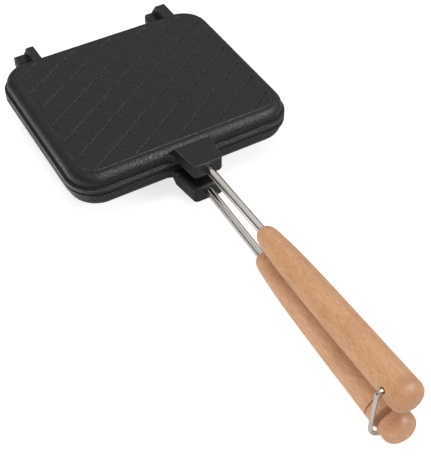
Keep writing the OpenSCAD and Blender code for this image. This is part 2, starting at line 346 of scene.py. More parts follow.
def finished(bm: Mesh, name: str, material: Material, place: Matrix,
             sharp: float = 40.0) -> Piece:
    """Places a mesh in the shared frame and makes it a smooth-shaded object.

    Args:
        bm: The mesh; it is freed.
        name: Name of the piece.
        material: Its finish.
        place: Where it goes in the shared frame.
        sharp: Edges over this angle in degrees stay crisp.

    Returns:
        The new object, at the origin.
    """
    # Marks edge strips for wear and for a painted highlight.
    EdgeWearAndHighlight().mark(bm)
    bmesh.ops.transform(bm, matrix=place, verts=bm.verts[:])
    mesh = bpy.data.meshes.new(name)
    bm.to_mesh(mesh)
    bm.free()
    mesh.shade_smooth()
    mesh.set_sharp_from_angle(angle=math.radians(sharp))
    mesh.materials.append(material)
    obj = bpy.data.objects.new(name, mesh)
    bpy.context.scene.collection.objects.link(obj)
    obj.modifiers.new("even_normals", "WEIGHTED_NORMAL").keep_sharp = True
    return obj


def quarter(radius: float, segments: int) -> list[Point]:
    """Steps of (inset, rise) along a quarter round that starts upright and ends level.

    Args:
        radius: Radius of the round.
        segments: Number of steps.

    Returns:
        The steps, in order.
    """
    angles = [math.pi / 2 * i / segments for i in range(segments + 1)]
    return [(radius * (math.cos(a) - math.cos(b)), radius * (math.sin(b) - math.sin(a)))
            for a, b in zip(angles, angles[1:])]


# ---------------------------------------------------------------- shader helpers


@dataclass
class Shader:
    """A material's node tree with short ways to add and join nodes.

    Attributes:
        tree: The node tree that is filled.
        column: Where the next node is drawn in the editor.
    """

    tree: bpy.types.NodeTree
    column: int = 0

    def add(self, kind: str, **values: object) -> bpy.types.Node:
        """Adds a node and sets its properties.

        Args:
            kind: The node's type.
            **values: Properties of the node.

        Returns:
            The new node.
        """
        node = self.tree.nodes.new(kind)
        node.location = (self.column * 190 - 1800, -220 * (self.column % 4))
        self.column += 1
        for key, value in values.items():
            setattr(node, key, value)
        return node

    def join(self, source: Socket | float | tuple, target: Socket) -> None:
        """Joins a socket, or sets a plain value, to another socket.

        Args:
            source: An output socket or a value.
            target: The input socket.
        """
        if isinstance(source, Socket):
            self.tree.links.new(source, target)
        else:
            target.default_value = source

    def math(self, kind: str, *inputs: object) -> Socket:
        """Adds a Math node.

        Args:
            kind: Its operation.
            *inputs: Sockets or numbers.

        Returns:
            Its output.
        """
        node = self.add("ShaderNodeMath", operation=kind)
        for source, target in zip(inputs, node.inputs):
            self.join(source, target)
        return node.outputs[0]

    def remap(self, value: object, low: float, high: float, to_low: float,
              to_high: float) -> Socket:
        """Maps one range of values onto another, smoothly and clamped.

        Args:
            value: Socket to map.
            low: Start of its range.
            high: End of its range.
            to_low: Value at the start.
            to_high: Value at the end.

        Returns:
            The mapped value.
        """
        node = self.add("ShaderNodeMapRange", interpolation_type="SMOOTHSTEP")
        for source, target in zip((value, low, high, to_low, to_high), node.inputs):
            self.join(source, target)
        return node.outputs[0]

    def tinted(self, tone: object, mask: object, share: float, colour: object) -> Socket:
        """Mixes some of a colour into another where a mask says so.

        Args:
            tone: Colour to start from.
            mask: Where the other colour comes in, from 0 to 1.
            share: How much of it comes in at most.
            colour: The other colour.

        Returns:
            The mixed colour.
        """
        node = self.add("ShaderNodeMix", data_type="RGBA", blend_type="MIX", clamp_factor=True)
        self.join(self.math("MULTIPLY", mask, share), node.inputs[0])
        for source, target in ((tone, node.inputs[6]), (colour, node.inputs[7])):
            self.join((*source, 1.0) if isinstance(source, tuple) else source, target)
        return node.outputs[2]

    def bumped(self, surface: bpy.types.Node, height: object, strength: float, step: float) -> None:
        """Roughens a surface's normal with a Bump node.

        Args:
            surface: The shader node that gets the normal.
            height: Height of the relief, from 0 to 1.
            strength: Strength of the bump.
            step: What a height of 1 stands for, in metres.
        """
        node = self.add("ShaderNodeBump")
        node.inputs["Strength"].default_value = strength
        node.inputs["Distance"].default_value = step
        self.join(height, node.inputs["Height"])
        self.join(node.outputs[0], surface.inputs["Normal"])

    def split(self, vector: object) -> bpy.types.NodeOutputs:
        """Splits a vector in its three parts.

        Args:
            vector: The vector.

        Returns:
            The three parts.
        """
        node = self.add("ShaderNodeSeparateXYZ")
        self.join(vector, node.inputs[0])
        return node.outputs

    def noise(self, vector: object, scale: float, detail: float = 2.0,
              rough: float = 0.5) -> Socket:
        """Adds a Noise Texture.

        Args:
            vector: Where it is read.
            scale: Its scale, per metre on plain object coordinates.
            detail: Its detail.
            rough: Its roughness.

        Returns:
            Its factor.
        """
        node = self.add("ShaderNodeTexNoise")
        self.join(vector, node.inputs["Vector"])
        for key, value in (("Scale", scale), ("Detail", detail), ("Roughness", rough)):
            self.join(value, node.inputs[key])
        return node.outputs[0]

    def stretched(self, vector: object, scale: tuple, move: tuple = (0.0, 0.0, 0.0),
                  turn: tuple = (0.0, 0.0, 0.0)) -> Socket:
        """Moves, turns and stretches a vector.

        Args:
            vector: The vector.
            scale: Stretch along each axis.
            move: Shift.
            turn: Turn in radians.

        Returns:
            The new vector.
        """
        node = self.add("ShaderNodeMapping", vector_type="POINT")
        self.join(vector, node.inputs["Vector"])
        node.inputs["Location"].default_value = move
        node.inputs["Rotation"].default_value = turn
        node.inputs["Scale"].default_value = scale
        return node.outputs[0]

    def group(self, tree: bpy.types.NodeTree, **values: object) -> bpy.types.Node:
        """Places a node group.

        Args:
            tree: The group.
            **values: Values or sockets for its inputs, with _ for each space.

        Returns:
            The group node.
        """
        node = self.add("ShaderNodeGroup", node_tree=tree)
        for key, value in values.items():
            self.join(value, node.inputs[key.replace("_", " ")])
        return node


def group_tree(name: str, inputs: dict[str, str],
               outputs: tuple[str, ...]) -> tuple[Shader, object, object]:
    """Starts a shader node group with named sockets.

    Args:
        name: The group's name.
        inputs: Socket type for each input.
        outputs: Names of the outputs, which are plain values.

    Returns:
        The shader helper, the group's input sockets and its output node's sockets.
    """
    tree = bpy.data.node_groups.new(name, "ShaderNodeTree")
    for key, kind in inputs.items():
        tree.interface.new_socket(key, in_out="INPUT", socket_type=f"NodeSocket{kind}")
    for key in outputs:
        tree.interface.new_socket(key, in_out="OUTPUT", socket_type="NodeSocketFloat")
    shader = Shader(tree)
    return shader, shader.add("NodeGroupInput").outputs, shader.add("NodeGroupOutput").inputs


def fine_grain_group() -> bpy.types.NodeTree:
    """Builds the group of fine and coarse grain that every finish uses.

    Returns:
        A group that puts out a coarse Drift, a fine Grain and their Height.
    """
    name = "fine_grain"
    if name in bpy.data.node_groups:
        return bpy.data.node_groups[name]
    s, given, out = group_tree(name, {"Vector": "Vector", "Coarse": "Float", "Fine": "Float"},
                               ("Drift", "Grain", "Height"))
    drift = s.remap(s.noise(given["Vector"], given["Coarse"], 3.0, 0.55), 0.3, 0.7, 0.0, 1.0)
    grain = s.remap(s.noise(given["Vector"], given["Fine"], 2.0, 0.6), 0.32, 0.68, 0.0, 1.0)
    s.join(drift, out["Drift"])
    s.join(grain, out["Grain"])
    s.join(s.math("MULTIPLY_ADD", grain, 0.8, s.math("MULTIPLY", drift, 0.2)), out["Height"])
    return s.tree


def edge_group() -> bpy.types.NodeTree:
    """Builds the shared group that finds worn edges, edge strips with a painted highlight and
    hollows where shade is painted.

    Returns:
        A group that puts out an Edge mask of worn edges for round pieces, a WearAndHighlight mask
        for the worn strips with a painted highlight that EdgeWearAndHighlight marks, and a
        HollowShade mask of hollows for painted shade.
    """
    name = "worn_edges"
    if name in bpy.data.node_groups:
        return bpy.data.node_groups[name]
    s, given, out = group_tree(name, {"Vector": "Vector", "Scale": "Float"},
                               ("Edge", "WearAndHighlight", "HollowShade"))
    bent = s.add("ShaderNodeNewGeometry").outputs["Pointiness"]
    patchy = s.remap(s.noise(given["Vector"], given["Scale"], 3.0, 0.6), 0.3, 0.65, 0.25, 1.0)
    strips = s.add("ShaderNodeAttribute", attribute_name="worn_and_lit").outputs["Fac"]
    s.join(s.math("MULTIPLY", s.remap(bent, 0.53, 0.56, 0.0, 1.0), patchy), out["Edge"])
    # Marked edge strips: wear and a painted highlight.
    s.join(s.math("MULTIPLY", strips, patchy), out["WearAndHighlight"])
    # Hollows found from pointiness get painted shade.
    s.join(s.remap(bent, 0.46, 0.478, 1.0, 0.0), out["HollowShade"])
    return s.tree


def principled(name: str) -> tuple[Material, Shader, bpy.types.Node, Socket]:
    """Starts a material with a Principled shader and object coordinates.

    Args:
        name: The material's name.

    Returns:
        The material, its shader helper, the Principled node and the object coordinates.
    """
    material = bpy.data.materials.new(name)
    material.use_nodes = True
    s = Shader(material.node_tree)
    surface = next(n for n in s.tree.nodes if n.type == "BSDF_PRINCIPLED")
    coords = s.add("ShaderNodeTexCoord")
    return material, s, surface, coords.outputs["Object"]


@dataclass(frozen=True)
class CoatedCasting:
    """Black non-stick coating with a fine speckle over a sand-textured casting.

    Attributes:
        base: Colour of the coating.
        fleck: Colour of its specks.
        bare_and_highlight: Colour of worn edge strips, lightened as a painted highlight.
        hollow_shade: Colour of the painted shade in hollows.
        rough: Mean roughness.
        grain_mm: Size of the grain, in millimetres.
        relief: Height of the sand texture on the walls.
        level_relief: Share of that height on the level faces.
    """

    base: Rgb = (0.009, 0.009, 0.0094)
    fleck: Rgb = (0.05, 0.05, 0.051)
    bare_and_highlight: Rgb = (0.075, 0.075, 0.076)
    hollow_shade: Rgb = (0.003, 0.003, 0.003)
    rough: float = 0.35
    grain_mm: float = 0.95
    relief: float = mm(0.24)
    level_relief: float = 0.15

    def material(self) -> Material:
        """Builds the material.

        Returns:
            The finished material.
        """
        material, s, surface, coords = principled("coated_casting")
        grain = s.group(fine_grain_group(), Vector=coords, Coarse=34.0, Fine=1000.0 / self.grain_mm)
        specks = s.add("ShaderNodeTexVoronoi", feature="F1")
        s.join(coords, specks.inputs["Vector"])
        s.join(1000.0 / (self.grain_mm * 1.6), specks.inputs["Scale"])
        dots = s.math("MULTIPLY", s.remap(specks.outputs["Distance"], 0.14, 0.3, 1.0, 0.0),
                      s.remap(s.noise(coords, 420.0, 1.0), 0.48, 0.62, 0.0, 1.0))
        drift = grain.outputs["Drift"]
        edges = s.group(edge_group(), Vector=coords, Scale=260.0)
        tone = self.base
        for mask, share, colour in ((drift, 0.35, tuple(1.5 * c for c in self.base)),
                                    (dots, 0.55, self.fleck),
                                    # worn edge strips, lightened as a painted highlight
                                    (edges.outputs["WearAndHighlight"], 0.8, self.bare_and_highlight),
                                    # painted shade in the hollows
                                    (edges.outputs["HollowShade"], 0.5, self.hollow_shade)):
            tone = s.tinted(tone, mask, share, colour)
        s.join(tone, surface.inputs["Base Color"])
        rough = s.remap(drift, 0.0, 1.0, self.rough - 0.1, self.rough + 0.02)
        rough = s.math("MULTIPLY_ADD", grain.outputs["Grain"], 0.16, rough)
        s.join(rough, surface.inputs["Roughness"])
        upward = s.math("ABSOLUTE", s.split(coords.node.outputs["Normal"])[2])
        level = s.remap(upward, 0.85, 0.995, 1.0, self.level_relief)
        s.bumped(surface, s.math("MULTIPLY", grain.outputs["Height"], level), 0.8, self.relief)
        surface.inputs["Specular IOR Level"].default_value = 0.29
        return material


@dataclass(frozen=True)
class DrawnSteel:
    """Bare steel with fine lines along the way it was drawn.

    Attributes:
        name: Name of the material.
        base: Colour of the metal.
        rough: Mean roughness.
        along: Stretch of the lines along each axis; small runs long.
        scratch: Depth of the lines.
    """

    name: str
    base: Rgb = (0.74, 0.7, 0.66)
    rough: float = 0.16
    along: tuple[float, float, float] = (1.0, 0.03, 1.0)
    scratch: float = mm(0.01)

    def material(self) -> Material:
        """Builds the material.

        Returns:
            The finished material.
        """
        material, s, surface, coords = principled(self.name)
        lines = s.group(fine_grain_group(), Vector=s.stretched(coords, self.along), Coarse=160.0,
                        Fine=2600.0)
        worn = s.group(fine_grain_group(), Vector=coords, Coarse=60.0, Fine=900.0)
        edges = s.group(edge_group(), Vector=coords, Scale=400.0)
        dull = tuple(0.82 * c for c in self.base)
        bright = tuple(min(0.9, 1.25 * c) for c in self.base)
        tone = s.tinted(self.base, worn.outputs["Drift"], 0.4, dull)
        s.join(s.tinted(tone, edges.outputs["Edge"], 0.4, bright), surface.inputs["Base Color"])
        rough = s.remap(worn.outputs["Drift"], 0.0, 1.0, self.rough - 0.05, self.rough + 0.05)
        rough = s.math("MULTIPLY_ADD", lines.outputs["Grain"], 0.1, rough)
        s.join(rough, surface.inputs["Roughness"])
        s.bumped(surface, lines.outputs["Height"], 0.35, self.scratch)
        surface.inputs["Metallic"].default_value = 1.0
        return material


@dataclass(frozen=True)
class TurnedWood:
    """Pale close-grained hardwood, turned and lightly lacquered.

    Attributes:
        name: Name of the material.
        half: Half of the iron that the grip belongs to.
        pale: Colour of the early wood.
        warm: Colour of the late wood.
        deep: Colour of flecks, end grain, worn edges and the turned line, and of the painted shade
            in hollows and in the bail's groove.
        ring_tint: Tint of the darkened turned line and of the painted shade in the bail's groove,
            as a share of the deep colour.
        heart: Where the tree's centre lies across the grip, in metres.
        shift: Shift of the pattern, so that the two grips differ.
        ring_gap: Distance between year rings.
        wander: How far the rings wander.
        pores: Depth of the open pores.
    """

    name: str
    half: Half
    pale: Rgb = (0.64, 0.37, 0.2)
    warm: Rgb = (0.55, 0.28, 0.13)
    deep: Rgb = (0.36, 0.155, 0.065)
    ring_tint: Rgb = (0.62, 0.42, 0.36)
    heart: Point = (0.03, 0.02)
    shift: float = 0.0
    ring_gap: float = mm(2.3)
    wander: float = mm(5)
    pores: float = mm(0.05)

    def material(self) -> Material:
        """Builds the material.

        Returns:
            The finished material.
        """
        material, s, surface, coords = principled(self.name)
        place = LAYOUT.handle(self.half).inverted()
        local = s.stretched(coords, (1.0, 1.0, 1.0), tuple(place.translation),
                            tuple(place.to_euler("XYZ")))
        axes = s.split(local)
        fibre = s.group(fine_grain_group(), Coarse=380.0, Fine=1500.0,
                        Vector=s.stretched(local, (1.0, 1.0, 0.26), (self.shift, 0.3, 0.0)))
        blotch = s.group(fine_grain_group(), Coarse=95.0, Fine=420.0,
                         Vector=s.stretched(local, (1.0, 1.0, 0.4), (0.0, self.shift, 0.1)))
        rays = s.noise(s.stretched(local, (1.0, 1.0, 0.24), (0.0, self.shift, 0.0)), 1000.0, 1.0)
        fleck = s.remap(rays, 0.58, 0.7, 0.0, 1.0)
        cloud = s.noise(s.stretched(local, (1.0, 1.0, 0.5), (self.shift, 0.2, 0.05)), 85.0, 3.0,
                        0.6)
        edges = s.group(edge_group(), Vector=local, Scale=300.0)
        tone = self.pale
        for mask, share, colour in ((self._late_wood(s, local, axes), 0.4, self.warm),
                                    (blotch.outputs["Drift"], 0.5, self.warm),
                                    (blotch.outputs["Grain"], 0.3, self.warm),
                                    (fibre.outputs["Drift"], 0.4, self.warm),
                                    (fibre.outputs["Grain"], 0.38, self.deep),
                                    (fleck, 0.42, self.deep),
                                    (s.remap(cloud, 0.5, 0.68, 0.0, 1.0), 0.3, self.deep),
                                    (edges.outputs["Edge"], 0.35, self.deep),
                                    # painted shade in the hollows
                                    (edges.outputs["HollowShade"], 0.8, self.deep)):
            tone = s.tinted(tone, mask, share, colour)
        # Lower grip: darker turned line, and painted shade in the bail's groove.
        if self.half is Half.LOWER:
            tone = self._dark_line_and_groove_shade(s, tone, axes[2])
        tone = self._end_grain(s, tone, axes[2], blotch.outputs["Drift"])
        s.join(tone, surface.inputs["Base Color"])
        rough = s.remap(blotch.outputs["Drift"], 0.0, 1.0, 0.42, 0.54)
        rough = s.math("MULTIPLY_ADD", fibre.outputs["Grain"], 0.12, rough)
        s.join(rough, surface.inputs["Roughness"])
        height = s.math("SUBTRACT", fibre.outputs["Height"], s.math("MULTIPLY", fleck, 0.5))
        s.bumped(surface, height, 0.3, self.pores)
        for key, value in (("Coat Weight", 0.12), ("Coat Roughness", 0.28), ("Sheen Weight", 0.06),
                           ("Sheen Roughness", 0.45)):
            surface.inputs[key].default_value = value
        return material

    def _late_wood(self, s: Shader, local: object, axes: object) -> Socket:
        """Draws year rings round the tree's centre, which leans a little against the grip.

        Args:
            s: The material's shader helper.
            local: Coordinates along the grip.
            axes: Their three parts.

        Returns:
            A mask of the late wood in each ring.
        """
        lean = 0.03
        bend = s.noise(s.stretched(local, (1.0, 1.0, 0.35), (self.shift, 0.0, 0.0)), 30.0)
        wobble = s.math("MULTIPLY", s.math("SUBTRACT", bend, 0.5), self.wander)
        away = s.math("MULTIPLY", axes[2], lean)
        across = s.math("ADD", s.math("ADD", axes[0], self.heart[0]), s.math("ADD", wobble, away))
        down = s.math("ADD", s.math("ADD", axes[1], self.heart[1]), wobble)
        radius = s.math("SQRT", s.math("ADD", s.math("MULTIPLY", across, across),
                                       s.math("MULTIPLY", down, down)))
        ring = s.math("FRACT", s.math("DIVIDE", radius, self.ring_gap))
        return s.math("MULTIPLY", s.remap(ring, 0.35, 0.92, 0.0, 1.0),
                      s.remap(ring, 0.93, 1.0, 1.0, 0.0))

    def _dark_line_and_groove_shade(self, s: Shader, tone: object, along: object) -> Socket:
        """Darkens the turned line, and paints shade into the bail's groove under the upper grip.

        Args:
            s: The material's shader helper.
            tone: Colour of the wood so far.
            along: Distance from the lug's front face.

        Returns:
            The darkened colour.
        """
        ring_tone = tuple(g * c for g, c in zip(self.ring_tint, self.deep))
        # First the turned line, then a wide band of painted shade over the bail's groove.
        for back, reach, share in ((LAYOUT.line_back, mm(0.55), 0.8),
                                   (LAYOUT.bail_back, mm(2.6), 0.65)):
            off = s.math("ABSOLUTE", s.math("SUBTRACT", along, LAYOUT.butt - back))
            tone = s.tinted(tone, s.remap(off, 0.45 * reach, reach, 1.0, 0.0), share, ring_tone)
        return tone

    def _end_grain(self, s: Shader, tone: object, along: object, drift: object) -> Socket:
        """Darkens the end, in patches round its edge and evenly on its face.

        Args:
            s: The material's shader helper.
            tone: Colour of the wood so far.
            along: Distance from the lug's front face.
            drift: Noise that makes the patches.

        Returns:
            The colour with the end grain.
        """
        near, face = (s.remap(along, LAYOUT.butt - start, LAYOUT.butt - stop, 0.0, 1.0)
                      for start, stop in ((mm(15), mm(7)), (mm(4.5), mm(1.5))))
        band = s.math("MULTIPLY", near, s.math("SUBTRACT", 1.0, face))
        patches = s.math("MULTIPLY", band, s.math("MULTIPLY_ADD", drift, 0.5, 0.12))
        return s.tinted(s.tinted(tone, patches, 1.0, self.deep), face, 0.36, self.deep)


# ---------------------------------------------------------------- sub-assemblies


@dataclass
class CastPlate:
    """One cast plate: a rounded tray with a lattice of grooves, a handle lug and two hinge lugs.

    Attributes:
        half: Upper or lower half.
        finish: Material of the casting.
        corner: Plan radius of the rim's corners.
        rim_h: Height of the rim band.
        ledge: Width of the ledge between rim and wall.
        shoulder: Radius of the shoulder.
        wall: Thickness of the casting.
        cavity_r: Fillet round the cavity's floor.
        gap: Gap between the two rims.
        rim_bevel: Bevel beside the seam.
        rim_round: Rounding of the rim band and of the cavity's mouth.
        foot: Fillet between ledge and wall.
        brim: Width of the level strip round the raised face.
        step: Height of the raised flat face.
        step_slope: Its slope, as pairs of (inset, rise) in shares of that height.
        pitch: Distance between grooves.
        groove_w: Width of a groove.
        groove_depth: Depth of a groove of the first family.
        faint: Share of that depth in the second family.
        groove_cuts: Where a groove is cut along, in shares of half its width.
        groove_fall: How fast its sides fall; over 1 leaves a flat floor.
        angle: Angle of the first family of grooves, in degrees.
        margin: Plain margin round the lattice.
        run_out: Width over which the grooves run out into the margin.
        lug_root: Width of the handle lug at the plate.
        lug_tip: Width of the handle lug at its front.
        lug_rise: Rise of its top above the flat face.
        lug_under: Height of its underside.
        lug_round: Rounding of its long edges.
        lug_edge: Rounding of its other edges.
        heel_bed: Depth of its heel inside the shoulder.
        fillet: Radius of the hollow corners beside it.
        fillet_h: Height of those corners.
        socket: Diameter of the rod's socket.
        socket_depth: Its depth.
        socket_mouth: Chamfer at its mouth.
        hinge_spans: Left and right faces of the two hinge lugs.
        hinge_drop: Drop of their tops below the plate's face.
        hinge_root: Depth of their roots inside the rim.
        hinge_flat: Reach of their level tops behind the rim.
        hinge_seat: Start of their level undersides inside the rim.
        hinge_lip: Reach of those undersides behind the rim.
        knuckle_back: Reach of a hinge knuckle behind the axis.
        knuckle_front: Its reach in front of the axis.
        knuckle_under: Its reach past the axis, away from its own plate.
        knuckle_up: Height of its upright back face above the axis.
        knuckle_round: Rounding of its back edge.
        knuckle_edge: Chamfer of its front edge.
        bore: Diameter of the pins' bores.
        crisp: Rounding of the cast edges of the lugs.
    """

    half: Half
    finish: Material
    corner: float = mm(21)
    rim_h: float = mm(3.4)
    ledge: float = mm(1.9)
    shoulder: float = mm(6.2)
    wall: float = mm(3.1)
    cavity_r: float = mm(4)
    gap: float = mm(0.8)
    rim_bevel: float = mm(0.4)
    rim_round: float = mm(0.5)
    foot: float = mm(0.7)
    brim: float = mm(0.4)
    step: float = mm(0.4)
    step_slope: tuple[Point, ...] = ((0.2, 0.3), (0.4, 0.45), (0.4, 0.25))
    pitch: float = mm(15.3)
    groove_w: float = mm(2.1)
    groove_depth: float = mm(0.65)
    faint: float = 0.5
    groove_cuts: tuple[float, ...] = (-1.4, -1.0, -0.72, -0.4, 0.0, 0.4, 0.72, 1.0, 1.4)
    groove_fall: float = 1.35
    angle: float = 33.9
    margin: float = mm(1.4)
    run_out: float = mm(0.55)
    lug_root: float = mm(25)
    lug_tip: float = mm(19.6)
    lug_rise: float = mm(2.3)
    lug_under: float = mm(3.9)
    lug_round: float = mm(2.4)
    lug_edge: float = mm(0.45)
    heel_bed: float = mm(0.6)
    fillet: float = mm(5)
    fillet_h: float = mm(5.2)
    socket: float = mm(5.54)
    socket_depth: float = mm(18)
    socket_mouth: float = mm(0.35)
    hinge_spans: tuple[Point, Point] = ((mm(-50), mm(-44.5)), (mm(50.3), mm(57.8)))
    hinge_drop: float = mm(0.7)
    hinge_root: float = mm(7)
    hinge_flat: float = mm(10.1)
    hinge_seat: float = mm(3.7)
    hinge_lip: float = mm(2.6)
    knuckle_back: float = mm(6)
    knuckle_front: float = mm(5.1)
    knuckle_under: float = mm(5)
    knuckle_up: float = mm(3.5)
    knuckle_round: float = mm(4)
    knuckle_edge: float = mm(0.3)
    bore: float = mm(4.08)
    crisp: float = mm(0.4)

    def build(self) -> Piece:
        """Builds the plate, places it and hands it to its body.

        Returns:
            The finished plate.
        """
        lugs = [self._hinge_lug(x0, x1) for x0, x1 in self.hinge_spans]
        corners = [self._lug_corner(sign) for sign in (-1, 1)]
        whole = merged([self._tray(), self._handle_lug(), *corners, *lugs])
        name = f"{self.half.value}_plate_casting"
        plate = finished(whole, name, self.finish, LAYOUT.seam(self.half), sharp=38.0)
        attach(plate, self.half.body)
        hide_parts(f"{self.half.value}_plate")
        return plate

    def _tray(self) -> Mesh:
        """Makes the tray by insetting its outline up to the flat face and down into the cavity.

        Returns:
            A closed mesh with the lattice cut in its flat face.
        """
        bm = bmesh.new()
        mark = bm.faces.layers.int.new("lattice")
        bmesh.ops.create_grid(bm, x_segments=1, y_segments=1, size=1.0)
        bmesh.ops.scale(bm, vec=(LAYOUT.half_w, LAYOUT.half_d, 1.0), verts=bm.verts[:])
        bmesh.ops.bevel(bm, geom=bm.verts[:], offset=self.corner, offset_type="OFFSET",
                        affect="VERTICES", segments=16, profile=0.5, material=-1)
        low, edge, foot = self.gap / 2, self.rim_round, self.foot
        bmesh.ops.translate(bm, verts=bm.verts[:], vec=(0.0, 0.0, low + self.rim_bevel))
        made = bmesh.ops.extrude_face_region(bm, geom=bm.faces[:])
        top = next(g for g in made["geom"] if isinstance(g, Face))
        under = next(f for f in bm.faces if len(f.verts) > 4 and f is not top)
        bmesh.ops.translate(bm, verts=top.verts[:],
                            vec=(0.0, 0.0, self.rim_h - edge - low - self.rim_bevel))
        wall_rise = LAYOUT.half_t - self.step - self.shoulder - self.rim_h - foot
        up = [*quarter(edge, 4), (self.ledge - edge - foot, 0.0),
              *[(rise, inset) for inset, rise in quarter(foot, 3)],
              (0.0, wall_rise), *quarter(self.shoulder, 12), (self.brim, 0.0),
              *[(self.step * run, self.step * rise) for run, rise in self.step_slope]]
        self._climb(bm, top, up)
        cavity_rise = LAYOUT.half_t - self.wall - self.cavity_r - low - edge
        down = [*[(inset, -rise) for inset, rise in quarter(self.rim_bevel, 3)],
                (self.ledge + self.wall - self.rim_bevel - edge, 0.0), *quarter(edge, 4)[::-1],
                (0.0, cavity_rise), *quarter(self.cavity_r, 8)]
        self._climb(bm, under, down)
        self._lattice(bm, top, mark)
        tidy_shell(bm)
        return bm

    @staticmethod
    def _climb(bm: Mesh, face: Face, steps: list[Point]) -> None:
        """Carries a face inwards and up (or down) in steps, leaving a wall behind it.

        Args:
            bm: The mesh.
            face: The face that is carried.
            steps: Pairs of (inset, rise).
        """
        for inset, rise in steps:
            bmesh.ops.inset_region(bm, faces=[face], thickness=max(inset, LEAST_INSET),
                                   use_even_offset=True, use_boundary=True)
            bmesh.ops.translate(bm, verts=face.verts[:], vec=(0.0, 0.0, rise))

    def _lattice(self, bm: Mesh, face: Face, mark: bmesh.types.BMLayerItem) -> None:
        """Cuts two families of straight rounded grooves in the flat face.

        Args:
            bm: The mesh.
            face: Its flat face.
            mark: Face layer that tells the grooved field from the strip round it.
        """
        bmesh.ops.inset_region(bm, faces=[face], thickness=self.margin, use_even_offset=True,
                               use_boundary=True)
        ring = bmesh.ops.inset_region(bm, faces=[face], thickness=self.run_out,
                                      use_even_offset=True, use_boundary=True)["faces"]
        face[mark] = 1
        geom = list({g for f in [face, *ring] for g in (f, *f.edges, *f.verts)})
        reach = self.groove_w / 2
        count = int(math.hypot(LAYOUT.half_w, LAYOUT.half_d) / self.pitch)
        normals = [Vector((-math.sin(a), math.cos(a), 0.0))
                   for a in (math.radians(self.angle), math.radians(self.angle - 90))]
        for normal in normals:
            for k in range(-count, count + 1):
                for cut in self.groove_cuts:
                    at = normal * (k * self.pitch + reach * cut)
                    geom = bmesh.ops.bisect_plane(bm, geom=geom, dist=SNAP, plane_no=normal,
                                                  plane_co=at)["geom"]
        for vert in {v for f in bm.faces if f[mark] for v in f.verts}:
            depth = 0.0
            for normal, share in zip(normals, (1.0, self.faint)):
                across = normal.dot(vert.co)
                away = abs(across - self.pitch * round(across / self.pitch)) / reach
                fall = min(1.0, self.groove_fall * (1.0 - min(1.0, away) ** 2))
                depth = max(depth, share * fall)
            vert.co.z -= depth * self.groove_depth

    def _handle_lug(self) -> Mesh:
        """Makes the tapered lug with its rounded edges and the rod's socket.

        Returns:
            A closed mesh.
        """
        front, back = LAYOUT.lug_front, -LAYOUT.half_d
        top = LAYOUT.half_t + self.lug_rise
        heel = (self.shoulder - self.heel_bed) * math.sqrt(0.5)
        heel_y = back + self.ledge + self.shoulder - heel
        heel_z = LAYOUT.half_t - self.step - self.shoulder + heel
        side = [(front, self.lug_under), (front, top), (back, top), (heel_y, heel_z),
                (heel_y, self.lug_under)]
        bm = extruded([Vector((-self.lug_root / 2, y, z)) for y, z in side],
                      Vector((self.lug_root, 0.0, 0.0)))
        for vert in bm.verts:
            share = (back - vert.co.y) / LAYOUT.lug_reach
            vert.co.x *= 1.0 - share * (1.0 - self.lug_tip / self.lug_root)
        near = mm(0.05)

        def at_front(v: Corner) -> bool:
            """True if the corner is on the front face."""
            return abs(v.co.y - front) < near

        def is_low(v: Corner) -> bool:
            """True if the corner is on the underside."""
            return abs(v.co.z - self.lug_under) < near

        upright = [e for e in bm.edges if all(at_front(v) for v in e.verts)
                   and abs(e.verts[0].co.z - e.verts[1].co.z) > mm(1)]
        round_edges(bm, upright, self.lug_round, 6)
        under = [e for e in bm.edges if all(is_low(v) for v in e.verts)]
        flank = [e for e in under if abs(e.verts[0].co.y - e.verts[1].co.y) > mm(5)
                 or (e.is_manifold and e.calc_face_angle(0.0) > 0.5
                     and max(v.co.y for v in e.verts) < back + mm(3))]
        round_edges(bm, flank, self.lug_round, 6)
        round_edges(bm, sharp_edges(bm, 32), self.lug_edge, 3)
        tidy_shell(bm)
        deep, past, narrow = -self.socket_depth, mm(2), self.socket / 2
        wide = narrow + self.socket_mouth
        socket = revolve([(0.0, deep), (narrow, deep), (narrow, -self.socket_mouth), (wide, 0.0),
                          (wide, past), (0.0, past)], 48)
        bmesh.ops.transform(socket, verts=socket.verts[:], matrix=LAYOUT.seam(Half.UPPER).inverted()
                            @ LAYOUT.handle(Half.UPPER))
        return carved(bm, socket)

    def _lug_corner(self, sign: int) -> Mesh:
        """Makes the hollow corner between a flank of the handle lug and the plate's wall.

        Args:
            sign: -1 for the left flank, 1 for the right one.

        Returns:
            A closed mesh.
        """
        taper = math.atan((self.lug_root - self.lug_tip) / 2 / LAYOUT.lug_reach)
        radius, bed, back = self.fillet, mm(3), mm(1)
        centre = Vector((radius * (1 - math.sin(taper)) / math.cos(taper), -radius, 0.0))
        inward = Vector((-math.cos(taper), math.sin(taper), 0.0))
        arc = [centre + Vector((-math.cos(a), math.sin(a), 0.0)) * radius
               for a in (taper + (math.pi / 2 - taper) * i / 12 for i in range(13))]
        outline = [centre + inward * (radius + bed), *arc, Vector((centre.x, back, 0.0)),
                   Vector((-bed, back, 0.0))]
        start = Vector((self.lug_root / 2 + self.ledge * math.tan(taper),
                        self.ledge - LAYOUT.half_d, self.lug_under))
        bm = extruded([start + p for p in outline], Vector((0.0, 0.0, self.fillet_h)))
        bmesh.ops.scale(bm, vec=(sign, 1.0, 1.0), verts=bm.verts[:])
        bmesh.ops.recalc_face_normals(bm, faces=bm.faces[:])
        round_edges(bm, sharp_edges(bm, 50), self.crisp, 3)
        tidy_shell(bm)
        return bm

